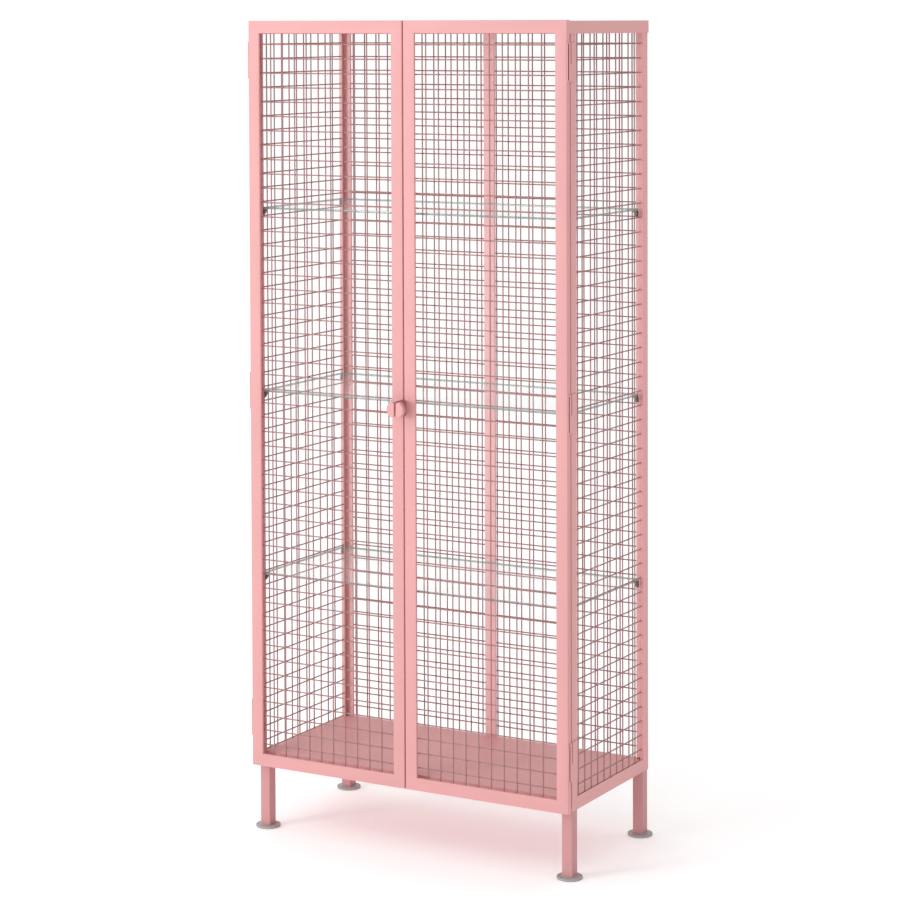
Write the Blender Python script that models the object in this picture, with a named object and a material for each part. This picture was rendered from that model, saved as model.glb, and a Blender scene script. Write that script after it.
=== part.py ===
"""Two-door mesh locker cabinet on four legs, with glass shelves.

Metres, +Z up, doors facing -Y. The origin lies on the floor under the middle of the whole outline.
"""
import math

import bmesh
import bpy

# Overall sizes. Depths are measured behind the front face of the doors, see back().
WIDTH = 0.800
DOOR_TOP = 1.8263
DOOR_BOTTOM = 0.1472
BODY_TOP = 1.8245
BODY_BOTTOM = 0.1465
SHEET = 0.0012
GAP = 0.0003

# Doors: welded frames of folded sheet, open at the rear. The outer edges fold back over the full
# thickness, and the inner edges by a short return that the mesh is welded onto.
DOOR_THICKNESS = 0.0130
DOOR_MEMBER = 0.0280
DOOR_SPLIT = 0.0030
INNER_RETURN = 0.0050
MESH_OVERLAP = 0.0060

# Corner posts: angle profiles that stand on square tube legs.
POST_OUTER_X = 0.3960
POST_FLANGE = 0.0250
POST_LIPS = {"front": 0.0145, "rear": 0.0085}
POST_WALL = 0.0016
FRONT_POST_DEPTH = 0.0255
REAR_POST_DEPTH = 0.3765
REAR_LEG_DEPTH = 0.3725
LEG_SIZE = 0.0250
LEG_WALL = 0.0015

# Feet: round pads with a plug that fills the mouth of the leg.
FOOT_RADIUS = 0.0280
FOOT_HEIGHT = 0.0060
FOOT_EDGE = 0.0012
FOOT_PLUG_RADIUS = 0.0105
FOOT_PLUG_TOP = 0.0280
FOOT_SIDES = 28
LEG_BOTTOM = FOOT_HEIGHT + GAP

# Lid and floor are folded trays; side rails close the foot of each side.
LID_HALF_WIDTH = 0.3980
LID_FRONT_DEPTH = 0.0145
LID_REAR_DEPTH = 0.4033
SKIRT = 0.0275
FLOOR_HALF_WIDTH = 0.3902
FLOOR_FRONT_DEPTH = 0.0280
FLOOR_REAR_DEPTH = 0.3880
FLOOR_NOTCH_X = 0.0092
FLOOR_NOTCH_Y = 0.0160

# Back frame: one welded frame round two mesh fields.
BACK_FRONT_DEPTH = 0.3885
BACK_THICKNESS = 0.0130
BACK_HALF_WIDTH = 0.3941
BACK_STILE = 0.0215
BACK_CENTRE_STILE = 0.0280
BACK_RAIL = 0.0250

# Mesh lattices: true wire size, with every second upright and every third crosswire.
WIRE = 0.0030
UPRIGHT_PITCH = 2 * 0.03135
SIDE_UPRIGHT_PITCH = 2 * 0.0310
CROSSWIRE_PITCH = 3 * 0.0322
TOP_CROSSWIRE = 1.7737
CROSSWIRE_COUNT = 17
DOOR_UPRIGHTS = {"left": -0.3452, "right": 0.0548}
DOOR_UPRIGHT_COUNT = 5
BACK_UPRIGHTS = {"left": -0.33685, "right": 0.04735}
BACK_UPRIGHT_COUNT = 6
SIDE_UPRIGHT_DEPTH = 0.0925
SIDE_UPRIGHT_COUNT = 5
SIDE_MESH_X = 0.3926

# Glass shelves on wedge brackets.
SHELF_TOPS = {"upper": 1.4080, "middle": 0.9950, "lower": 0.5810}
GLASS = 0.0050
SHELF_HALF_WIDTH = 0.3870
SHELF_FRONT_DEPTH = 0.0300
SHELF_REAR_DEPTH = 0.3715
BRACKET_DEPTHS = {"front": 0.0360, "rear": 0.3665}
BRACKET_WIDTH = 0.0090
BRACKET_REACH = 0.0130
BRACKET_HEIGHT = 0.0140
BRACKET_EDGE = 0.0020

# Lift-off hinges: the door's knuckle sits on the frame's knuckle and turns on its pin. The door's edge
# and the leaf on it share a narrow slot.
HINGE_CENTRES = {"upper": 1.7380, "middle": 0.9960, "lower": 0.2555}
HINGE_HEIGHT = 0.0820
HINGE_SPLIT = -0.0040
HINGE_AXIS_X = 0.3960
HINGE_AXIS_DEPTH = 0.0178
KNUCKLE_RADIUS = 0.0033
KNUCKLE_BORE = 0.0022
KNUCKLE_SIDES = 24
PIN_RADIUS = 0.0021
PIN_RISE = 0.0300
PIN_ROOT = 0.0080
LEAF = 0.0015
LEAF_MARGIN = 0.0008
SLOT_FRONT_DEPTH = 0.0020
SLOT_REAR_DEPTH = 0.0062
SLOT_HALF_HEIGHT = 0.0385
FRAME_LEAF_DEPTH = 0.0225

# Pulls: a half-moon knob on a tab, one at each meeting stile.
PULL_CENTRE_Z = 0.9842
PULL_REACH = 0.0385
PULL_THICKNESS = 0.0120
PULL_RADIUS = 0.0185
PULL_WIDTH = 0.0190
PULL_CORNER = 0.0065
PULL_OFFSET = 0.0020
PULL_ARC_STEPS = 18
PULL_CORNER_STEPS = 4
PULL_ROUNDING = 0.0015
TAB_WALL = 0.0030
TAB_HEIGHT = 0.0335

# The outline runs from the pulls' fronts to the backs of the rear feet.
REAR_REACH = REAR_LEG_DEPTH + LEG_SIZE / 2 + FOOT_RADIUS
DOOR_FACE_Y = (PULL_REACH - REAR_REACH) / 2

SMOOTH_ANGLE = math.radians(35)
SIDES = {"left": -1, "right": 1}
SLICED_CORNERS = ((0, 0), (1, 0), (1, 1), (0, 1))


def back(depth):
    """World Y of a plane the given depth behind the doors' front face."""
    return DOOR_FACE_Y + depth


def ordered(sign, *distances):
    """Distances from the middle plane as ascending world X, on the side given by sign."""
    return sorted(sign * distance for distance in distances)


def clear_scene():
    for item in list(bpy.data.objects):
        bpy.data.objects.remove(item, do_unlink=True)


def material(name, colour, roughness, alpha=1.0):
    made = bpy.data.materials.new(name)
    made.use_nodes = True
    shader = made.node_tree.nodes["Principled BSDF"]
    shader.inputs["Base Color"].default_value = (*colour, 1.0)
    shader.inputs["Roughness"].default_value = roughness
    shader.inputs["Alpha"].default_value = alpha
    made.diffuse_color = (*colour, alpha)
    return made


def mesh_from(bm, name):
    bmesh.ops.recalc_face_normals(bm, faces=bm.faces)
    mesh = bpy.data.meshes.new(name)
    bm.to_mesh(mesh)
    bm.free()
    return mesh


def add_object(name, mesh, finish, location=(0.0, 0.0, 0.0)):
    item = bpy.data.objects.new(name, mesh)
    item.location = location
    if finish and not mesh.materials:
        mesh.materials.append(finish)
    bpy.context.collection.objects.link(item)
    return item


def add_body(name, bm, finish, location=(0.0, 0.0, 0.0)):
    return add_object(name, mesh_from(bm, name), finish, location)


def smooth(item):
    item.data.shade_smooth()
    item.data.set_sharp_from_angle(angle=SMOOTH_ANGLE)


def blocks(xs, ys, zs, is_solid=lambda i, j, k: True):
    """The outer skin of all solid cells in a grid with the given lines along X, Y and Z."""
    bm = bmesh.new()
    lines = (xs, ys, zs)
    counts = [len(line) - 1 for line in lines]
    corners = {}

    def corner(index):
        if index not in corners:
            corners[index] = bm.verts.new([line[n] for line, n in zip(lines, index)])
        return corners[index]

    def solid(cell):
        return all(0 <= n < count for n, count in zip(cell, counts)) and is_solid(*cell)

    def shifted(cell, axis, step):
        return tuple(n + step * (k == axis) for k, n in enumerate(cell))

    for cell in ((i, j, k) for i in range(counts[0]) for j in range(counts[1]) for k in range(counts[2])):
        if not solid(cell):
            continue
        for axis in range(3):
            u, v = (axis + 1) % 3, (axis + 2) % 3
            for step in (0, 1):
                if solid(shifted(cell, axis, 2 * step - 1)):
                    continue
                base = shifted(cell, axis, step)
                bm.faces.new([corner(shifted(shifted(base, u, a), v, b)) for a, b in SLICED_CORNERS])
    return bm


def box(low, high):
    return blocks(*zip(low, high))


def tray(low, high):
    """A folded sheet tray with its mouth down."""
    lines = [(a, a + SHEET, b - SHEET, b) for a, b in zip(low[:2], high[:2])]
    return blocks(*lines, (low[2], high[2] - SHEET, high[2]), lambda i, j, k: k == 1 or i != 1 or j != 1)


def notched_tray(low, high, notch_x, notch_y):
    """A folded sheet tray with its mouth down and a step cut out of both rear corners."""
    left, right = low[0] + notch_x, high[0] - notch_x
    rear = high[1] - notch_y
    xs = (low[0], low[0] + SHEET, left, left + SHEET, right - SHEET, right, high[0] - SHEET, high[0])
    ys = (low[1], low[1] + SHEET, rear - SHEET, rear, high[1] - SHEET, high[1])

    def in_outline(i, j):
        return j < 3 or 2 <= i <= 4

    def in_skirt(i, j):
        return j in (0, 4) or i in (0, 6) or (j >= 2 and i != 3)

    return blocks(xs, ys, (low[2], high[2] - SHEET, high[2]),
                  lambda i, j, k: in_outline(i, j) and (k == 1 or in_skirt(i, j)))


def prism(outline, low_y, high_y):
    """Extrude a closed outline of (x, z) points along Y."""
    bm = bmesh.new()
    rings = [[bm.verts.new((x, y, z)) for x, z in outline] for y in (low_y, high_y)]
    for ring in rings:
        bm.faces.new(ring)
    for k in range(len(outline)):
        bm.faces.new([rings[0][k - 1], rings[0][k], rings[1][k], rings[1][k - 1]])
    return bm


def turned(profile, sides):
    """Turn a profile of (radius, height) points about Z; it starts and ends on the axis."""
    bm = bmesh.new()
    angles = [2 * math.pi * k / sides for k in range(sides)]
    rings = [[bm.verts.new((radius * math.cos(a), radius * math.sin(a), height)) for a in angles]
             for radius, height in profile[1:-1]]
    bm.faces.new(rings[0])
    bm.faces.new(rings[-1])
    for lower, upper in zip(rings, rings[1:]):
        for k in range(sides):
            bm.faces.new([lower[k - 1], lower[k], upper[k], upper[k - 1]])
    return bm


def joined(name, body, additions=(), cuts=()):
    """The mesh of a body with further shapes joined on and others cut away."""
    target = add_body(name, body, None)
    helpers = []
    for operation, shapes in (("UNION", additions), ("DIFFERENCE", cuts)):
        for shape in shapes:
            helper = add_body(name + "_tool", shape, None)
            boolean = target.modifiers.new(operation, "BOOLEAN")
            boolean.operation = operation
            boolean.solver = "EXACT"
            boolean.object = helper
            helpers.append(helper)
    depsgraph = bpy.context.evaluated_depsgraph_get()
    mesh = bpy.data.meshes.new_from_object(target.evaluated_get(depsgraph))
    mesh.materials.clear()
    for item in (target, *helpers):
        bpy.data.objects.remove(item, do_unlink=True)
    return mesh


def bar_lines(start, stop, first, pitch, count):
    """Grid lines from start to stop in which every odd span is one wire wide."""
    centres = [first + k * pitch for k in range(count)]
    return [start, *(centre + half for centre in centres for half in (-WIRE / 2, WIRE / 2)), stop]


def crosswire_lines(low, high):
    lowest = TOP_CROSSWIRE - (CROSSWIRE_COUNT - 1) * CROSSWIRE_PITCH
    return bar_lines(low, high, lowest, CROSSWIRE_PITCH, CROSSWIRE_COUNT)


def folded_frame(xs, depth, thickness, zs):
    """A welded frame of folded sheet round one or more windows.

    The lines along X and Z repeat in fours: edge wall, hollow, edge wall, window.
    """
    front = back(depth)
    ys = (front, front + SHEET, front + INNER_RETURN, front + thickness)
    last_column, last_row = len(xs) - 2, len(zs) - 2

    def is_solid(i, j, k):
        if i % 4 == 3 and k % 4 == 3:
            return False
        outer_wall = i in (0, last_column) or k in (0, last_row)
        inner_wall = (i % 4 in (0, 2) and k % 4 != 1) or (k % 4 in (0, 2) and i % 4 != 1)
        return j == 0 or outer_wall or (j == 1 and inner_wall)

    return blocks(xs, ys, zs, is_solid)


def build_legs_and_feet(paint, rubber):
    profile = ((0.0, 0.0), (FOOT_RADIUS - FOOT_EDGE, 0.0), (FOOT_RADIUS, FOOT_EDGE),
               (FOOT_RADIUS, FOOT_HEIGHT - FOOT_EDGE), (FOOT_RADIUS - FOOT_EDGE, FOOT_HEIGHT),
               (FOOT_PLUG_RADIUS, FOOT_HEIGHT), (FOOT_PLUG_RADIUS, FOOT_PLUG_TOP), (0.0, FOOT_PLUG_TOP))
    for end, depth in (("front", FRONT_POST_DEPTH), ("rear", REAR_LEG_DEPTH)):
        front, rear = back(depth), back(depth + LEG_SIZE)
        for side, sign in SIDES.items():
            low, high = ordered(sign, POST_OUTER_X, POST_OUTER_X - LEG_SIZE)
            tube = blocks((low, low + LEG_WALL, high - LEG_WALL, high),
                          (front, front + LEG_WALL, rear - LEG_WALL, rear),
                          (LEG_BOTTOM, BODY_BOTTOM - GAP), lambda i, j, k: (i, j) != (1, 1))
            add_body(f"leg_{end}_{side}", tube, paint)
            place = ((low + high) / 2, (front + rear) / 2, 0.0)
            smooth(add_body(f"foot_{end}_{side}", turned(profile, FOOT_SIDES), rubber, place))


def build_posts(paint):
    for end, depth in (("front", FRONT_POST_DEPTH), ("rear", REAR_POST_DEPTH)):
        for side, sign in SIDES.items():
            xs = ordered(sign, POST_OUTER_X, POST_OUTER_X - POST_WALL, POST_OUTER_X - POST_LIPS[end])
            flange = 1 if sign > 0 else 0
            post = blocks(xs, (back(depth), back(depth + POST_WALL), back(depth + POST_FLANGE)),
                          (BODY_BOTTOM, BODY_TOP - SHEET - GAP),
                          lambda i, j, k, flange=flange: j == 0 or i == flange)
            add_body(f"post_{end}_{side}", post, paint)


def build_lid_floor_and_rails(paint):
    lid = tray((-LID_HALF_WIDTH, back(LID_FRONT_DEPTH), BODY_TOP - SKIRT),
               (LID_HALF_WIDTH, back(LID_REAR_DEPTH), BODY_TOP))
    add_body("lid", lid, paint)
    floor = notched_tray((-FLOOR_HALF_WIDTH, back(FLOOR_FRONT_DEPTH), BODY_BOTTOM),
                         (FLOOR_HALF_WIDTH, back(FLOOR_REAR_DEPTH), BODY_BOTTOM + SKIRT),
                         FLOOR_NOTCH_X, FLOOR_NOTCH_Y)
    add_body("floor_panel", floor, paint)
    front, rear = back(FRONT_POST_DEPTH + POST_FLANGE) + GAP, back(REAR_POST_DEPTH) - GAP
    for side, sign in SIDES.items():
        low, high = ordered(sign, POST_OUTER_X, POST_OUTER_X - POST_WALL)
        rail = box((low, front, BODY_BOTTOM), (high, rear, BODY_BOTTOM + SKIRT))
        add_body(f"side_rail_{side}", rail, paint)


def build_side_meshes(wire):
    front, rear = back(FRONT_POST_DEPTH + POST_WALL) + GAP, back(REAR_POST_DEPTH) - GAP
    ys = bar_lines(front, rear, back(SIDE_UPRIGHT_DEPTH), SIDE_UPRIGHT_PITCH, SIDE_UPRIGHT_COUNT)
    zs = crosswire_lines(BODY_BOTTOM + 2 * SHEET, BODY_TOP - SHEET - GAP)
    for side, sign in SIDES.items():
        xs = ordered(sign, SIDE_MESH_X - WIRE / 2, SIDE_MESH_X + WIRE / 2)
        lattice = blocks(xs, ys, zs, lambda i, j, k: j % 2 == 1 or k % 2 == 1)
        add_body(f"side_mesh_{side}", lattice, wire)


def build_upright_mesh(name, depth, x_range, first, count, z_range, wire):
    """A wire field that lies on the inner returns of the frame whose front is at the given depth."""
    xs = bar_lines(*x_range, first, UPRIGHT_PITCH, count)
    front = back(depth) + INNER_RETURN + GAP
    ys = (front, front + WIRE)
    lattice = blocks(xs, ys, crosswire_lines(*z_range), lambda i, j, k: i % 2 == 1 or k % 2 == 1)
    add_body(name, lattice, wire)


def edge_lines(low, high, member):
    """Lines of a frame's two outer members along one axis: wall, hollow, wall, window and so on."""
    return (low, low + SHEET, low + member - SHEET, low + member,
            high - member, high - member + SHEET, high - SHEET, high)


def build_back(paint, wire):
    half, stile, centre = BACK_HALF_WIDTH, BACK_HALF_WIDTH - BACK_STILE, BACK_CENTRE_STILE / 2
    outer = edge_lines(-half, half, BACK_STILE)
    xs = (*outer[:4], -centre, -centre + SHEET, centre - SHEET, centre, *outer[4:])
    zs = edge_lines(BODY_BOTTOM, BODY_TOP - SHEET - GAP, BACK_RAIL)
    add_body("back_frame", folded_frame(xs, BACK_FRONT_DEPTH, BACK_THICKNESS, zs), paint)
    heights = (zs[3] - MESH_OVERLAP, zs[4] + MESH_OVERLAP)
    for side, sign in SIDES.items():
        x_range = ordered(sign, centre - MESH_OVERLAP, stile + MESH_OVERLAP)
        build_upright_mesh(f"back_mesh_{side}", BACK_FRONT_DEPTH, x_range,
                           BACK_UPRIGHTS[side], BACK_UPRIGHT_COUNT, heights, wire)


def hinge_slots(sign):
    """The slots in the outer edge of one door, one beside each hinge."""
    low, high = ordered(sign, WIDTH / 2 - 2 * SHEET, WIDTH / 2 + SHEET)
    front, rear = back(SLOT_FRONT_DEPTH), back(SLOT_REAR_DEPTH)
    return [box((low, front, height - SLOT_HALF_HEIGHT), (high, rear, height + SLOT_HALF_HEIGHT))
            for height in HINGE_CENTRES.values()]


def build_doors(paint, wire):
    zs = edge_lines(DOOR_BOTTOM, DOOR_TOP, DOOR_MEMBER)
    heights = (zs[3] - MESH_OVERLAP, zs[4] + MESH_OVERLAP)
    for side, sign in SIDES.items():
        xs = edge_lines(*ordered(sign, DOOR_SPLIT / 2, WIDTH / 2), DOOR_MEMBER)
        frame = joined(f"door_frame_{side}", folded_frame(xs, 0.0, DOOR_THICKNESS, zs), cuts=hinge_slots(sign))
        add_object(f"door_frame_{side}", frame, paint)
        build_upright_mesh(f"door_mesh_{side}", 0.0, (xs[3] - MESH_OVERLAP, xs[4] + MESH_OVERLAP),
                           DOOR_UPRIGHTS[side], DOOR_UPRIGHT_COUNT, heights, wire)


def build_shelves(glass, grey):
    wall = SIDE_MESH_X - WIRE / 2 - GAP
    for name, top in SHELF_TOPS.items():
        shelf = box((-SHELF_HALF_WIDTH, back(SHELF_FRONT_DEPTH), top - GLASS),
                    (SHELF_HALF_WIDTH, back(SHELF_REAR_DEPTH), top))
        add_body(f"shelf_{name}", shelf, glass)
        seat = top - GLASS - GAP
        outline = ((wall, seat), (wall - BRACKET_REACH, seat), (wall - BRACKET_REACH, seat - BRACKET_EDGE),
                   (wall - BRACKET_EDGE, seat - BRACKET_HEIGHT), (wall, seat - BRACKET_HEIGHT))
        for side, sign in SIDES.items():
            for end, depth in BRACKET_DEPTHS.items():
                wedge = prism([(sign * x, z) for x, z in outline],
                              back(depth - BRACKET_WIDTH / 2), back(depth + BRACKET_WIDTH / 2))
                add_body(f"bracket_{name}_{end}_{side}", wedge, grey)


def arc(centre_x, centre_z, radius, start, end, steps):
    angles = [start + (end - start) * k / steps for k in range(steps + 1)]
    return [(centre_x + radius * math.cos(a), centre_z + radius * math.sin(a)) for a in angles]


def pull_outline():
    """A half moon: a flat side at x = 0 with rounded corners, and a round outer edge."""
    middle = PULL_WIDTH - PULL_RADIUS
    corner_z = math.sqrt((PULL_RADIUS - PULL_CORNER) ** 2 - (PULL_CORNER - middle) ** 2)
    meet = math.atan2(corner_z, PULL_CORNER - middle)
    points = arc(middle, 0.0, PULL_RADIUS, -meet, meet, PULL_ARC_STEPS)
    points += arc(PULL_CORNER, corner_z, PULL_CORNER, meet, math.pi, PULL_CORNER_STEPS)[1:]
    points += arc(PULL_CORNER, -corner_z, PULL_CORNER, math.pi, 2 * math.pi - meet, PULL_CORNER_STEPS)[:-1]
    return points


def build_pulls(paint):
    knob_rear = back(PULL_THICKNESS - PULL_REACH)
    for side, sign in SIDES.items():
        outline = [(sign * (PULL_OFFSET + x), PULL_CENTRE_Z + z) for x, z in pull_outline()]
        knob = add_body(f"pull_knob_{side}", prism(outline, back(-PULL_REACH), knob_rear), paint)
        rounding = knob.modifiers.new("rounding", "BEVEL")
        rounding.width = PULL_ROUNDING
        rounding.segments = 2
        rounding.limit_method = "ANGLE"
        rounding.angle_limit = math.radians(40)
        smooth(knob)
        low, high = ordered(sign, PULL_OFFSET, PULL_OFFSET + TAB_WALL)
        tab = box((low, knob_rear + GAP, PULL_CENTRE_Z - TAB_HEIGHT / 2),
                  (high, back(0.0) - GAP, PULL_CENTRE_Z + TAB_HEIGHT / 2))
        add_body(f"pull_tab_{side}", tab, paint)


def rod(radius, low, high):
    return turned(((0.0, low), (radius, low), (radius, high), (0.0, high)), KNUCKLE_SIDES)


def hinge_meshes(sign):
    """Door leaf and frame leaf of one side's hinges, about the pin's axis at mid height."""
    half = HINGE_HEIGHT / 2
    door_front = -HINGE_AXIS_DEPTH + LEAF_MARGIN
    door_rear = -HINGE_AXIS_DEPTH + DOOR_THICKNESS - LEAF_MARGIN
    start = WIDTH / 2 + GAP - HINGE_AXIS_X
    low, high = ordered(sign, start, start + LEAF)
    web_front = DOOR_THICKNESS + GAP - HINGE_AXIS_DEPTH
    inner, outer = ordered(sign, 0.0, start + LEAF)
    slot_left, slot_right = ordered(sign, start - LEAF, start + 2 * LEAF)
    slot_front, slot_rear = SLOT_FRONT_DEPTH - HINGE_AXIS_DEPTH, SLOT_REAR_DEPTH - HINGE_AXIS_DEPTH
    door_leaf = joined(
        "door_leaf",
        box((low, door_front, -half), (high, door_rear, half)),
        additions=(box((low, door_rear - LEAF, HINGE_SPLIT + GAP), (high, web_front + LEAF, half)),
                   box((inner, web_front, HINGE_SPLIT + GAP), (outer, web_front + LEAF, half)),
                   rod(KNUCKLE_RADIUS, HINGE_SPLIT + GAP, half)),
        cuts=(rod(KNUCKLE_BORE, -half, HINGE_SPLIT + PIN_RISE + 2 * GAP),
              box((slot_left, slot_front, -SLOT_HALF_HEIGHT), (slot_right, slot_rear, SLOT_HALF_HEIGHT))))

    post_front = FRONT_POST_DEPTH - HINGE_AXIS_DEPTH + LEAF_MARGIN
    start = POST_OUTER_X + GAP - HINGE_AXIS_X
    low, high = ordered(sign, start, start + LEAF)
    frame_leaf = joined(
        "frame_leaf",
        box((low, post_front, -half), (high, post_front + FRAME_LEAF_DEPTH, half)),
        additions=(box((low, 0.0, -half), (high, post_front + LEAF, HINGE_SPLIT)),
                   rod(KNUCKLE_RADIUS, -half, HINGE_SPLIT),
                   rod(PIN_RADIUS, HINGE_SPLIT - PIN_ROOT, HINGE_SPLIT + PIN_RISE)))
    return door_leaf, frame_leaf


def build_hinges(paint):
    for side, sign in SIDES.items():
        door_leaf, frame_leaf = hinge_meshes(sign)
        for name, height in HINGE_CENTRES.items():
            place = (sign * HINGE_AXIS_X, back(HINGE_AXIS_DEPTH), height)
            smooth(add_object(f"hinge_{name}_{side}_door_leaf", door_leaf, paint, place))
            smooth(add_object(f"hinge_{name}_{side}_frame_leaf", frame_leaf, paint, place))


def main():
    clear_scene()
    paint = material("pink_paint", (0.90, 0.42, 0.42), 0.55)
    wire = material("pink_wire", (0.80, 0.36, 0.36), 0.50)
    glass = material("clear_glass", (0.80, 0.88, 0.85), 0.05, alpha=0.35)
    rubber = material("grey_foot", (0.45, 0.43, 0.43), 0.60)
    grey = material("grey_bracket", (0.18, 0.17, 0.17), 0.60)
    build_legs_and_feet(paint, rubber)
    build_posts(paint)
    build_lid_floor_and_rails(paint)
    build_side_meshes(wire)
    build_back(paint, wire)
    build_doors(paint, wire)
    build_shelves(glass, grey)
    build_pulls(paint)
    build_hinges(paint)


main()
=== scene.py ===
"""Visual model of the mesh locker cabinet: true-pitch welded wire, folded sheet frames, glass shelves."""

import math

import bmesh
import bpy
from mathutils import Matrix, Vector


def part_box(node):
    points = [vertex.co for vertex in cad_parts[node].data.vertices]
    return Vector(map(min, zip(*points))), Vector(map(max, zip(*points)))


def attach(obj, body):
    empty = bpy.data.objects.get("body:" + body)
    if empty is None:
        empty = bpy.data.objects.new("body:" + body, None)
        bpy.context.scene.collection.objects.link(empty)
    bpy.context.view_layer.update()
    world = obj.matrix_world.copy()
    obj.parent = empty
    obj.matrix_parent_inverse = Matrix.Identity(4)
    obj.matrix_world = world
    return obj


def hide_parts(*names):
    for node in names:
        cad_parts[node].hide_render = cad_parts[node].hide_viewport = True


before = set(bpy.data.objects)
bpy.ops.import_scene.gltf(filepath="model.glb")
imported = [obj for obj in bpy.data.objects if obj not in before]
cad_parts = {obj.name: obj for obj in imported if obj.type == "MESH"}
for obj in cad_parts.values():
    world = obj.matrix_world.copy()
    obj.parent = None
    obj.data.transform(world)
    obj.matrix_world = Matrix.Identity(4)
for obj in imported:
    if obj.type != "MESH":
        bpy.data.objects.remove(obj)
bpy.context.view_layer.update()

SHELVES = ("upper", "middle", "lower")
SIDES = {"left": -1, "right": 1}

# Welded mesh: the crosswires lie behind the uprights and sink into them a little at the welds.
WIRE_RADIUS = 0.0015
WIRE_FACES = 10
WELD_SINK = 0.0006
WIRE_SMOOTH = math.radians(60)
CROSS_PITCH = 0.0322
TOP_CROSSWIRE = 1.7737
CROSSWIRES = 50
UPRIGHT_PITCH = 0.03135
SIDE_PITCH = 0.0310
DOOR_FIRST_UPRIGHT = {"left": -0.3452, "right": 0.0548}
DOOR_UPRIGHT_COUNT = 10
BACK_FIRST_UPRIGHT = {"left": -0.3682, "right": 0.0160}
BACK_UPRIGHT_COUNT = 12
SIDE_FIRST_DEPTH = 0.0615
SIDE_UPRIGHT_COUNT = 10

# Folded sheet frames.
SHEET = 0.0012
BEND = 0.0016
INNER_RETURN = 0.0050
DOOR_MEMBER = 0.0280
BACK_STILE = 0.0215
BACK_RAIL_EXTRA = 0.0035
BACK_CENTRE_HALF = 0.0140
BACK_CENTRE_INSET = 0.0243

# Legs, and the slots beside the hinges.
LEG_WALL = 0.0015
LEG_CORNER = 0.0019
SLOT_FRONT = 0.0020
SLOT_REAR = 0.0062
SLOT_HALF = 0.0385
SLOT_MARGIN = 0.0001

# Shelf brackets and glass.
BRACKET_STANDOFF = 0.0024
BRACKET_SEAT = 0.0030
BRACKET_PLATE = 0.0028
BRACKET_EASE = 0.0007
CHEEK = 0.0022
CHEEK_INSET = 0.0012
GLASS_EASE = 0.0006

FOOT_SIDES = 72
FOOT_SMOOTH = math.radians(50)
EASE_SEGMENTS = 2
EASE_ANGLE = math.radians(35)
SMOOTH = math.radians(32)

# The studio: a pale floor, a room that dims towards +X, and two soft lamps.
FLOOR_SIZE = 40.0
FLOOR_GLOW = 0.20
ROOM_FADE = (("From Min", 0.0), ("From Max", 0.9), ("To Min", 1.02), ("To Max", 0.55))
LAMP_TARGET = (0, 0, 0.9)
LAMPS = (("key", (-3.2, -4.8, 1.8), 1.4, 90), ("top", (-1.0, -2.6, 3.2), 1.5, 12))

# The camera, fitted to the photograph: angles in radians, lengths in metres, lens in millimetres.
CAMERA_PLACE = (2.95249, -5.17657, 1.82654)
CAMERA_YAW, CAMERA_PITCH, CAMERA_ROLL = 0.51654, 0.03317, -0.00347
CAMERA_SENSOR, CAMERA_LENS = 36.0, 107.045
CAMERA_SHIFT = -0.37897
CAMERA_REACH = 200.0

# ---------------------------------------------------------------- materials


def srgb(r, g, b):
    """Linear colour of an 8-bit display colour."""
    shares = (r / 255, g / 255, b / 255)
    return tuple(v / 12.92 if v <= 0.04045 else ((v + 0.055) / 1.055) ** 2.4 for v in shares)


class Shader:
    """A Principled material with short-hand for wiring up procedural nodes."""

    def __init__(self, name):
        self.material = bpy.data.materials.new(name)
        self.material.use_nodes = True
        self.tree = self.material.node_tree
        self.surface = self.tree.nodes["Principled BSDF"]

    def node(self, kind, inputs=(), **settings):
        made = self.tree.nodes.new(kind)
        for key, value in settings.items():
            setattr(made, key, value)
        for key, value in dict(inputs).items():
            self.feed(made, key, value)
        return made

    def feed(self, node, key, value):
        if isinstance(value, bpy.types.NodeSocket):
            self.tree.links.new(value, node.inputs[key])
        else:
            node.inputs[key].default_value = value

    def set(self, **values):
        for key, value in values.items():
            self.feed(self.surface, key.replace("_", " "), value)

    def position(self):
        return self.node("ShaderNodeTexCoord").outputs["Object"]

    def noise(self, scale, detail=3.0, roughness=0.5, stretch=None):
        place = self.position()
        if stretch:
            place = self.node("ShaderNodeMapping", {"Vector": place, "Scale": stretch}).outputs["Vector"]
        made = self.node("ShaderNodeTexNoise", {"Vector": place, "Scale": scale, "Detail": detail,
                                                "Roughness": roughness})
        return made.outputs["Fac"]

    def ramp(self, factor, low, high, start=0.0, end=1.0):
        """Map a factor between start and end onto low to high."""
        made = self.node("ShaderNodeMapRange", {"Value": factor, "From Min": start, "From Max": end,
                                                "To Min": low, "To Max": high})
        return made.outputs["Result"]

    def mix(self, factor, first, second):
        made = self.node("ShaderNodeMix", data_type="RGBA")
        for socket, value in ((0, factor), (6, first), (7, second)):
            if isinstance(value, bpy.types.NodeSocket):
                self.tree.links.new(value, made.inputs[socket])
            else:
                made.inputs[socket].default_value = value
        return made.outputs[2]

    def bump(self, height, distance, strength, normal=None):
        inputs = {"Height": height, "Distance": distance, "Strength": strength}
        if normal:
            inputs["Normal"] = normal
        return self.node("ShaderNodeBump", inputs).outputs["Normal"]


def rgba(colour, gain=1.0):
    return (*(min(1.0, c * gain) for c in colour), 1.0)


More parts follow.
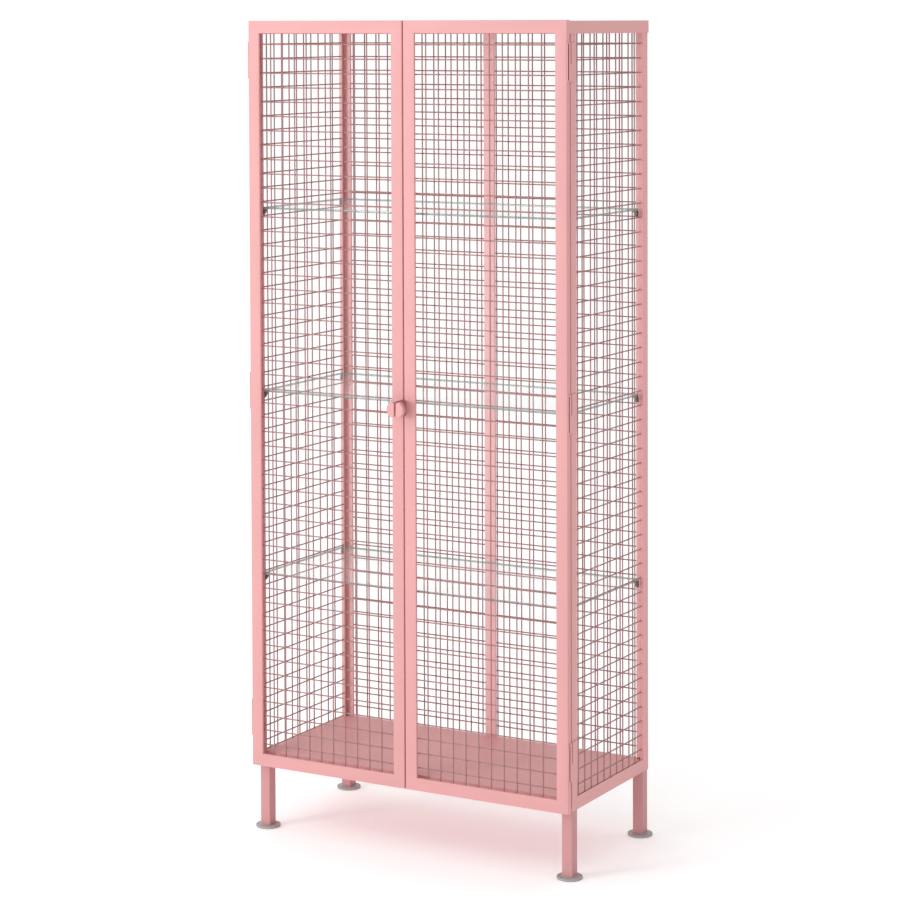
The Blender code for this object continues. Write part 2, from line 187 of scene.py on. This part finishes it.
def powder_coat(name, colour, roughness):
    """Satin powder coat: orange peel, fine grain, a drift of tone and a painted highlight along convex
    edges.
    """
    coat = Shader(name)
    drift = coat.noise(5.0, detail=2.0)
    grain = coat.noise(900.0, detail=2.0)
    peel = coat.noise(260.0, detail=2.0)
    tone = coat.mix(coat.ramp(drift, 0.0, 1.0, 0.3, 0.7), rgba(colour, 0.965), rgba(colour, 1.03))
    tone = coat.mix(coat.ramp(grain, 0.0, 0.10, 0.35, 0.65), tone, rgba(colour, 0.80))
    # Convex edges are painted lighter: a painted highlight.
    edge = coat.node("ShaderNodeNewGeometry").outputs["Pointiness"]
    tone = coat.mix(coat.ramp(edge, 0.0, 0.35, 0.52, 0.60), tone, rgba(colour, 1.25))
    coat.set(Base_Color=tone, Roughness=coat.ramp(grain, roughness - 0.05, roughness + 0.07, 0.3, 0.7))
    coat.surface.inputs["Specular IOR Level"].default_value = 0.42
    relief = coat.bump(peel, 0.00012, 0.35)
    coat.set(Normal=coat.bump(grain, 0.00004, 0.30, relief))
    return coat.material


def clear_glass(name):
    """Thin clear float glass that lets light straight through, with faint waves and dust."""
    pane = Shader(name)
    smear = pane.noise(14.0, detail=4.0, roughness=0.6)
    dust = pane.noise(700.0, detail=1.0)
    tint = pane.mix(pane.ramp(smear, 0.0, 1.0, 0.3, 0.7), (0.93, 0.97, 0.95, 1), (0.88, 0.94, 0.92, 1))
    pane.set(Base_Color=tint,
             Roughness=pane.ramp(smear, 0.02, 0.06, 0.35, 0.7),
             Alpha=pane.ramp(dust, 0.10, 0.16, 0.4, 0.7))
    pane.surface.inputs["IOR"].default_value = 1.52
    pane.set(Normal=pane.bump(pane.noise(9.0, detail=1.0), 0.0002, 0.2))
    return pane.material


def glass_edge(name):
    """The polished edge of a pane, where the glass shows its green depth."""
    rim = Shader(name)
    streak = rim.noise(60.0, detail=3.0, stretch=(1.0, 1.0, 30.0))
    depth = rim.ramp(streak, 0.0, 1.0, 0.3, 0.7)
    green = rim.mix(depth, rgba(srgb(92, 124, 118)), rgba(srgb(150, 178, 170)))
    rim.set(Base_Color=green, Roughness=rim.ramp(streak, 0.10, 0.25, 0.3, 0.7), Alpha=0.80)
    rim.surface.inputs["IOR"].default_value = 1.52
    return rim.material


def moulded(name, colour, roughness):
    """Matt moulded plastic or rubber with a fine spark-eroded grain."""
    body = Shader(name)
    grain = body.noise(620.0, detail=2.0)
    cloud = body.noise(40.0, detail=3.0)
    tone = body.mix(body.ramp(cloud, 0.0, 1.0, 0.3, 0.7), rgba(colour, 0.93), rgba(colour, 1.06))
    body.set(Base_Color=tone, Roughness=body.ramp(grain, roughness - 0.06, roughness + 0.08, 0.3, 0.7),
             Normal=body.bump(grain, 0.00008, 0.5))
    return body.material


PAINT = powder_coat("paint_pink_satin", srgb(214, 154, 154), 0.48)
# The wires are the body's pink painted darker: painted shade.
WIRE_PAINT_SHADED = powder_coat("paint_pink_wire_painted_shade", srgb(160, 119, 118), 0.46)
# The legs are the body's pink painted darker: painted shade under the cabinet.
LEG_PAINT_SHADED = powder_coat("paint_pink_legs_painted_shade", srgb(190, 136, 137), 0.48)
# The back frame is the body's pink painted lighter and paler: painted light inside the cabinet.
BACK_PAINT_LIT = powder_coat("paint_pink_back_painted_light", srgb(236, 186, 186), 0.48)
# Dark red for the rims of the hinge slots: painted shade.
SLOT_PAINTED_SHADE = powder_coat("paint_red_slot_painted_shade", srgb(120, 62, 64), 0.55)
# The pull tabs are the body's pink painted darker: painted shade beside the knobs.
TAB_PAINT_SHADED = powder_coat("paint_pink_shaded", srgb(170, 104, 106), 0.50)
GLASS = clear_glass("glass_clear")
GLASS_EDGE = glass_edge("glass_polished_edge")
FOOT_GREY = moulded("moulded_light_grey", srgb(165, 158, 158), 0.55)
BRACKET_GREY = moulded("moulded_grey", srgb(112, 107, 107), 0.50)

# ---------------------------------------------------------------- mesh tools


def piece(name, bm, finish, body, stands_for=(), smooth=SMOOTH):
    """One visible piece from a bmesh, riding on a body and standing for CAD nodes."""
    bmesh.ops.recalc_face_normals(bm, faces=bm.faces)
    mesh = bpy.data.meshes.new(name)
    bm.to_mesh(mesh)
    bm.free()
    made = bpy.data.objects.new(name, mesh)
    bpy.context.scene.collection.objects.link(made)
    for one in (finish if isinstance(finish, tuple) else (finish,)):
        mesh.materials.append(one)
    mesh.shade_smooth()
    mesh.set_sharp_from_angle(angle=smooth)
    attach(made, body)
    if stands_for:
        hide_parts(*stands_for)
    return made


def add_loop_faces(bm, lower, upper):
    for k in range(len(lower)):
        bm.faces.new([lower[k - 1], lower[k], upper[k], upper[k - 1]])


def wire(bm, start, end):
    """A round wire from start to end with slightly rounded ends."""
    start, end = Vector(start), Vector(end)
    along = (end - start).normalized()
    side = along.orthogonal().normalized()
    other = along.cross(side)
    nip = WIRE_RADIUS * 0.3
    rings = []
    for place, size in ((start, 0.7), (start + along * nip, 1.0), (end - along * nip, 1.0), (end, 0.7)):
        rings.append([bm.verts.new(place + (side * math.cos(a) + other * math.sin(a)) * WIRE_RADIUS * size)
                      for a in (2 * math.pi * (k + 0.5) / WIRE_FACES for k in range(WIRE_FACES))])
    bm.faces.new(rings[0])
    bm.faces.new(rings[-1])
    for lower, upper in zip(rings, rings[1:]):
        add_loop_faces(bm, lower, upper)


def fold(corner_u, corner_v, radius, start, steps=4):
    """Points of a quarter-round bend about (corner_u, corner_v), from the start angle in degrees."""
    angles = [math.radians(start + 90 * k / steps) for k in range(steps + 1)]
    return [(corner_u + radius * math.cos(a), corner_v + radius * math.sin(a)) for a in angles]


def folded_section(width, thickness):
    """Section of the folded frames: u runs from the outer edge inwards, v from the front to the rear."""
    inside = BEND - SHEET
    points = [(0.0, thickness), *fold(BEND, BEND, BEND, 180), *fold(width - BEND, BEND, BEND, 270),
              (width, INNER_RETURN), (width - SHEET, INNER_RETURN)]
    points += reversed(fold(width - BEND, BEND, inside, 270))
    points += reversed(fold(BEND, BEND, inside, 180))
    return points + [(SHEET, thickness)]


def widened(u, stretch):
    """The inner edge moves by the stretch while the outer bend stays where it is."""
    return u if u < BACK_STILE / 2 else u + stretch


def mitred_ring(bm, low, high, front, section, stretch):
    """Sweep a section round a rectangle in the XZ plane. stretch widens the rails against the stiles."""
    rings = []
    for x, z, step_x, step_z in ((low[0], low[1], 1, 1), (high[0], low[1], -1, 1),
                                 (high[0], high[1], -1, -1), (low[0], high[1], 1, -1)):
        rings.append([bm.verts.new((x + step_x * u, front + v, z + step_z * widened(u, stretch)))
                      for u, v in section])
    for k in range(4):
        add_loop_faces(bm, rings[k - 1], rings[k])


def rounded_box(bm, low, high, radius):
    size = Vector(high) - Vector(low)
    middle = (Vector(high) + Vector(low)) / 2
    place = Matrix.Translation(middle) @ Matrix.Diagonal((*size, 1.0))
    made = bmesh.ops.create_cube(bm, size=1.0, matrix=place)
    edges = {edge for vert in made["verts"] for edge in vert.link_edges}
    bmesh.ops.bevel(bm, geom=list(edges), offset=radius, segments=EASE_SEGMENTS, affect="EDGES",
                    profile=0.5)


def bounds_of(node):
    return tuple(Vector(corner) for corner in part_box(node))


# ---------------------------------------------------------------- frames


def slotted_section(width, thickness):
    """The folded section with the slot's two edges on both faces of the outer wall."""
    points = folded_section(width, thickness)
    return [points[0], (0.0, SLOT_REAR), (0.0, SLOT_FRONT), *points[1:-1],
            (SHEET, SLOT_FRONT), (SHEET, SLOT_REAR), points[-1]]


def add_slotted_faces(bm, lower, upper):
    """The wall between two rings with the slot left open and its rims closed."""
    count = len(lower)
    open_at = (2, count - 2)
    for k in range(count):
        if k not in open_at:
            bm.faces.new([lower[k - 1], lower[k], upper[k], upper[k - 1]])
    corners = (1, 2, count - 3, count - 2)
    for ring in (lower, upper):
        bm.faces.new([ring[k] for k in corners])
    for first, second in ((corners[0], corners[3]), (corners[1], corners[2])):
        bm.faces.new([lower[first], lower[second], upper[second], upper[first]])


def door_frame(side):
    """Folded sheet swept round the door, with a slot beside each hinge in the outer edge."""
    low, high = bounds_of(f"door_frame_{side}")
    section = slotted_section(DOOR_MEMBER, high.y - low.y)
    zones = []
    for name in reversed(SHELVES):
        bottom, top = bounds_of(f"hinge_{name}_{side}_frame_leaf")
        middle = (bottom.z + top.z) / 2
        zones.append((middle - SLOT_HALF, middle + SLOT_HALF))
    bm = bmesh.new()

    def corner(x, z, step_x, step_z):
        return [bm.verts.new((x + step_x * u, low.y + v, z + step_z * u)) for u, v in section]

    def station(x, z, step_x):
        return [bm.verts.new((x + step_x * u, low.y + v, z)) for u, v in section]

    rising, falling = [], []
    if side == "right":
        rising = [station(high.x, z, -1) for zone in zones for z in zone]
    else:
        falling = [station(low.x, z, 1) for zone in reversed(zones) for z in reversed(zone)]
    slotted = rising or falling
    rings = [corner(low.x, low.z, 1, 1), corner(high.x, low.z, -1, 1), *rising,
             corner(high.x, high.z, -1, -1), corner(low.x, high.z, 1, -1), *falling]
    for k, upper in enumerate(rings):
        lower = rings[k - 1]
        inside = upper in slotted and slotted.index(upper) % 2 == 1
        (add_slotted_faces if inside else add_loop_faces)(bm, lower, upper)
    piece(f"frame_door_{side}", bm, PAINT, f"door_{side}", [f"door_frame_{side}"])


def back_frame():
    """A folded ring with wider rails than stiles, and a folded middle stile between the rails."""
    low, high = bounds_of("back_frame")
    bm = bmesh.new()
    section = folded_section(BACK_STILE, high.y - low.y)
    mitred_ring(bm, (low.x, low.z), (high.x, high.z), low.y, section, BACK_RAIL_EXTRA)
    half, inside = BACK_CENTRE_HALF, BEND - SHEET
    section = [(-half, INNER_RETURN), *fold(BEND - half, BEND, BEND, 180),
               *fold(half - BEND, BEND, BEND, 270), (half, INNER_RETURN), (half - SHEET, INNER_RETURN)]
    section += reversed(fold(half - BEND, BEND, inside, 270))
    section += reversed(fold(BEND - half, BEND, inside, 180))
    section.append((SHEET - half, INNER_RETURN))
    ends = [[bm.verts.new((u, low.y + v, z)) for u, v in section]
            for z in (low.z + BACK_CENTRE_INSET, high.z - BACK_CENTRE_INSET)]
    add_loop_faces(bm, *ends)
    for end in ends:
        bm.faces.new(end)
    piece("frame_back", bm, BACK_PAINT_LIT, "cabinet", ["back_frame"])


# ---------------------------------------------------------------- welded mesh


def mesh_field(name, across, up, uprights, crosswires, upright_depth, cross_depth, place, body, node):
    """A welded field of round wires. place turns (across, depth, up) into a point."""
    bm = bmesh.new()
    for a in uprights:
        if across[0] < a < across[1]:
            wire(bm, place(a, upright_depth, up[0]), place(a, upright_depth, up[1]))
    for z in crosswires:
        if up[0] < z < up[1]:
            wire(bm, place(across[0], cross_depth, z), place(across[1], cross_depth, z))
    piece(name, bm, WIRE_PAINT_SHADED, body, [node], smooth=WIRE_SMOOTH)


def row(first, pitch, count):
    return [first + pitch * k for k in range(count)]


def crosswires():
    return row(TOP_CROSSWIRE, -CROSS_PITCH, CROSSWIRES)


def facing_front(across, depth, up):
    return (across, depth, up)


def facing_side(across, depth, up):
    return (depth, across, up)


def welded_meshes():
    step = 2 * WIRE_RADIUS - WELD_SINK
    for side, first in DOOR_FIRST_UPRIGHT.items():
        low, high = bounds_of(f"door_mesh_{side}")
        front = low.y + WIRE_RADIUS
        uprights = row(first, UPRIGHT_PITCH, DOOR_UPRIGHT_COUNT)
        mesh_field(f"mesh_door_{side}", (low.x, high.x), (low.z, high.z), uprights, crosswires(),
                   front, front + step, facing_front, f"door_{side}", f"door_mesh_{side}")
    for side, first in BACK_FIRST_UPRIGHT.items():
        low, high = bounds_of(f"back_mesh_{side}")
        front = low.y + WIRE_RADIUS
        uprights = row(first, UPRIGHT_PITCH, BACK_UPRIGHT_COUNT)
        mesh_field(f"mesh_back_{side}", (low.x, high.x), (low.z, high.z), uprights, crosswires(),
                   front, front + step, facing_front, "cabinet", f"back_mesh_{side}")
    front_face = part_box("door_frame_left")[0].y
    for side, sign in SIDES.items():
        low, high = bounds_of(f"side_mesh_{side}")
        outer = (low.x + high.x) / 2
        uprights = row(front_face + SIDE_FIRST_DEPTH, SIDE_PITCH, SIDE_UPRIGHT_COUNT)
        mesh_field(f"mesh_side_{side}", (low.y, high.y), (low.z, high.z), uprights, crosswires(),
                   outer, outer - sign * step, facing_side, "cabinet", f"side_mesh_{side}")


# ---------------------------------------------------------------- carcass


def refinished(node, finish):
    """A CAD node that keeps its shape, with a new finish."""
    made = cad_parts[node]
    made.data.materials.clear()
    made.data.materials.append(finish)
    return made


def bevelled(node, width, finish):
    """A CAD node that keeps its shape, with its edges eased and a new finish."""
    ease = refinished(node, finish).modifiers.new("eased", "BEVEL")
    ease.width = width
    ease.segments = EASE_SEGMENTS
    ease.limit_method = "ANGLE"
    ease.angle_limit = EASE_ANGLE
    ease.harden_normals = False


def carcass():
    for end in ("front", "rear"):
        for side in SIDES:
            bevelled(f"post_{end}_{side}", 0.0005, PAINT)
            leg(end, side)
    for node in ("side_rail_left", "side_rail_right"):
        bevelled(node, 0.0004, PAINT)
    bevelled("floor_panel", 0.0005, PAINT)
    bevelled("lid", 0.0005, PAINT)


def rounded_square(low, high, radius):
    """A square outline with a quarter-round at each corner."""
    points = []
    for x, y, start in ((high.x - radius, high.y - radius, 0), (low.x + radius, high.y - radius, 90),
                        (low.x + radius, low.y + radius, 180), (high.x - radius, low.y + radius, 270)):
        points += fold(x, y, radius, start, steps=5)
    return points


def leg(end, side):
    """A square tube with its own corner radius, open at both ends."""
    node = f"leg_{end}_{side}"
    low, high = bounds_of(node)
    wall = Vector((LEG_WALL, LEG_WALL, 0.0))
    bm = bmesh.new()
    loops = []
    for inset, radius, z in ((0, LEG_CORNER, low.z), (0, LEG_CORNER, high.z),
                             (1, LEG_CORNER - LEG_WALL, high.z), (1, LEG_CORNER - LEG_WALL, low.z)):
        outline = rounded_square(low + wall * inset, high - wall * inset, radius)
        loops.append([bm.verts.new((x, y, z)) for x, y in outline])
    for lower, upper in zip(loops, loops[1:] + loops[:1]):
        add_loop_faces(bm, lower, upper)
    piece(f"tube_leg_{end}_{side}", bm, LEG_PAINT_SHADED, "cabinet", [node])


def foot(end, side):
    """A round foot: flat pad with an eased rim, a recess underneath, a raised seat and a plug."""
    node = f"foot_{end}_{side}"
    low, high = bounds_of(node)
    centre = (low + high) / 2
    radius = (high.x - low.x) / 2
    profile = [(0.0, 0.0010), (radius - 0.0065, 0.0010), (radius - 0.0055, 0.0), (radius - 0.0014, 0.0),
               (radius - 0.0004, 0.0004), (radius, 0.0014), (radius, 0.0044), (radius - 0.0004, 0.0052),
               (radius - 0.0014, 0.0056), (radius - 0.0030, 0.0056), (radius - 0.0036, 0.0053),
               (radius - 0.0085, 0.0053), (radius - 0.0095, 0.0059), (0.0110, 0.0060), (0.0104, 0.0064),
               (0.0103, 0.0270), (0.0098, 0.0280), (0.0, 0.0280)]
    bm = bmesh.new()
    rings = []
    for r, z in profile[1:-1]:
        rings.append([bm.verts.new((centre.x + r * math.cos(a), centre.y + r * math.sin(a), z))
                      for a in (2 * math.pi * k / FOOT_SIDES for k in range(FOOT_SIDES))])
    for lower, upper in zip(rings, rings[1:]):
        add_loop_faces(bm, lower, upper)
    for ring, z in ((rings[0], profile[0][1]), (rings[-1], profile[-1][1])):
        tip = bm.verts.new((centre.x, centre.y, z))
        for k in range(FOOT_SIDES):
            bm.faces.new([ring[k - 1], ring[k], tip])
    piece(f"pad_{end}_{side}", bm, FOOT_GREY, "cabinet", [node], smooth=FOOT_SMOOTH)


# ---------------------------------------------------------------- shelves


def shelf(name):
    """A pane with ground edges; the rim is its own face set so that it shows the glass's depth."""
    node = f"shelf_{name}"
    low, high = bounds_of(node)
    bm = bmesh.new()
    rounded_box(bm, low, high, GLASS_EASE)
    bm.normal_update()
    for face in bm.faces:
        face.material_index = 0 if abs(face.normal.z) > 0.9 else 1
    piece(f"glass_{name}", bm, (GLASS, GLASS_EDGE), "cabinet", [node])


def bracket(node):
    """A moulded shelf bracket: a flat seat on two cheeks, with a plate behind them."""
    low, high = bounds_of(node)
    sign = 1 if low.x > 0 else -1
    wall, tip = (high.x, low.x) if sign > 0 else (low.x, high.x)
    wall -= sign * BRACKET_STANDOFF
    plate = wall - sign * BRACKET_PLATE
    bm = bmesh.new()
    rounded_box(bm, (min(wall, tip), low.y, high.z - BRACKET_SEAT), (max(wall, tip), high.y, high.z),
                BRACKET_EASE)
    rounded_box(bm, (min(wall, plate), low.y, low.z), (max(wall, plate), high.y, high.z - 0.0005),
                BRACKET_EASE)
    for start in (low.y + CHEEK_INSET, high.y - CHEEK_INSET - CHEEK):
        outline = [(wall, high.z - 0.001), (tip + sign * 0.0012, high.z - 0.001),
                   (tip + sign * 0.0012, high.z - 0.0045), (wall - sign * 0.0045, low.z + 0.0015),
                   (wall, low.z + 0.0015)]
        cheeks = [[bm.verts.new((x, y, z)) for x, z in outline] for y in (start, start + CHEEK)]
        for cheek in cheeks:
            bm.faces.new(cheek)
        add_loop_faces(bm, *cheeks)
    piece("moulding_" + node, bm, BRACKET_GREY, "cabinet", [node])


# ---------------------------------------------------------------- pulls and hinges


def pulls():
    for side in SIDES:
        refinished(f"pull_knob_{side}", PAINT)
        # The tab carries painted shade.
        bevelled(f"pull_tab_{side}", 0.0006, TAB_PAINT_SHADED)


def shade_slot(made, front):
    """The slot's rims are painted dark red, darker than the paint round them: painted shade in the deep
    slot.
    """
    made.data.materials.append(SLOT_PAINTED_SHADE)
    turn = made.matrix_world.to_3x3()
    for face in made.data.polygons:
        depth = (made.matrix_world @ face.center).y - front
        across = abs((turn @ face.normal).normalized().x) > 0.5
        if SLOT_FRONT - SLOT_MARGIN < depth < SLOT_REAR + SLOT_MARGIN and not across:
            face.material_index = 1


def hinges():
    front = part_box("door_frame_left")[0].y
    for name in SHELVES:
        for side in SIDES:
            for leaf in ("door", "frame"):
                refinished(f"hinge_{name}_{side}_{leaf}_leaf", PAINT)
            shade_slot(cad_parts[f"hinge_{name}_{side}_door_leaf"], front)


# ---------------------------------------------------------------- studio


def studio():
    floor = bpy.data.meshes.new("studio_floor")
    bm = bmesh.new()
    bmesh.ops.create_grid(bm, x_segments=1, y_segments=1, size=FLOOR_SIZE)
    bm.to_mesh(floor)
    bm.free()
    ground = bpy.data.objects.new("studio_floor", floor)
    bpy.context.scene.collection.objects.link(ground)
    cover = Shader("studio_pale")
    cover.set(Base_Color=(0.94, 0.94, 0.94, 1.0), Roughness=0.9)
    cover.surface.inputs["Specular IOR Level"].default_value = 0.1
    cover.surface.inputs["Emission Color"].default_value = (1.0, 1.0, 1.0, 1.0)
    cover.surface.inputs["Emission Strength"].default_value = FLOOR_GLOW
    floor.materials.append(cover.material)

    world = bpy.data.worlds.new("studio_world")
    bpy.context.scene.world = world
    world.use_nodes = True
    world.node_tree.nodes["Background"].inputs["Color"].default_value = (1.0, 1.0, 1.0, 1.0)
    nodes, links = world.node_tree.nodes, world.node_tree.links
    split = nodes.new("ShaderNodeSeparateXYZ")
    links.new(nodes.new("ShaderNodeTexCoord").outputs["Generated"], split.inputs["Vector"])
    fade = nodes.new("ShaderNodeMapRange")
    links.new(split.outputs["X"], fade.inputs["Value"])
    for key, value in ROOM_FADE:
        fade.inputs[key].default_value = value
    links.new(fade.outputs["Result"], nodes["Background"].inputs["Strength"])

    for name, place, size, power in LAMPS:
        data = bpy.data.lights.new(name, "AREA")
        data.shape, data.size, data.energy = "SQUARE", size, power
        lamp = bpy.data.objects.new(name, data)
        bpy.context.scene.collection.objects.link(lamp)
        lamp.location = place
        aim = Vector(LAMP_TARGET) - Vector(place)
        lamp.rotation_euler = aim.to_track_quat("-Z", "Y").to_euler()


def camera():
    """The photograph's camera: level with the lid, right of the doors, framed by a downward shift."""
    across = Vector((math.cos(CAMERA_YAW), math.sin(CAMERA_YAW), 0.0))
    ahead = Vector((-math.sin(CAMERA_YAW), math.cos(CAMERA_YAW), 0.0)) * math.cos(CAMERA_PITCH)
    forward = ahead - Vector((0.0, 0.0, math.sin(CAMERA_PITCH)))
    up = across.cross(forward)
    turned_right = across * math.cos(CAMERA_ROLL) + up * math.sin(CAMERA_ROLL)
    turned_up = up * math.cos(CAMERA_ROLL) - across * math.sin(CAMERA_ROLL)
    data = bpy.data.cameras.new("camera")
    data.sensor_width, data.lens = CAMERA_SENSOR, CAMERA_LENS
    data.shift_y = CAMERA_SHIFT
    data.clip_end = CAMERA_REACH
    made = bpy.data.objects.new("camera", data)
    bpy.context.scene.collection.objects.link(made)
    turn = Matrix((turned_right, turned_up, -forward)).transposed()
    made.matrix_world = Matrix.Translation(CAMERA_PLACE) @ turn.to_4x4()
    bpy.context.scene.camera = made


def build():
    for side in SIDES:
        door_frame(side)
    back_frame()
    welded_meshes()
    carcass()
    for end in ("front", "rear"):
        for side in SIDES:
            foot(end, side)
    for name in SHELVES:
        shelf(name)
        for end in ("front", "rear"):
            for side in SIDES:
                bracket(f"bracket_{name}_{end}_{side}")
    pulls()
    hinges()
    studio()
    camera()
    bpy.context.scene.view_settings.view_transform = "Standard"


build()
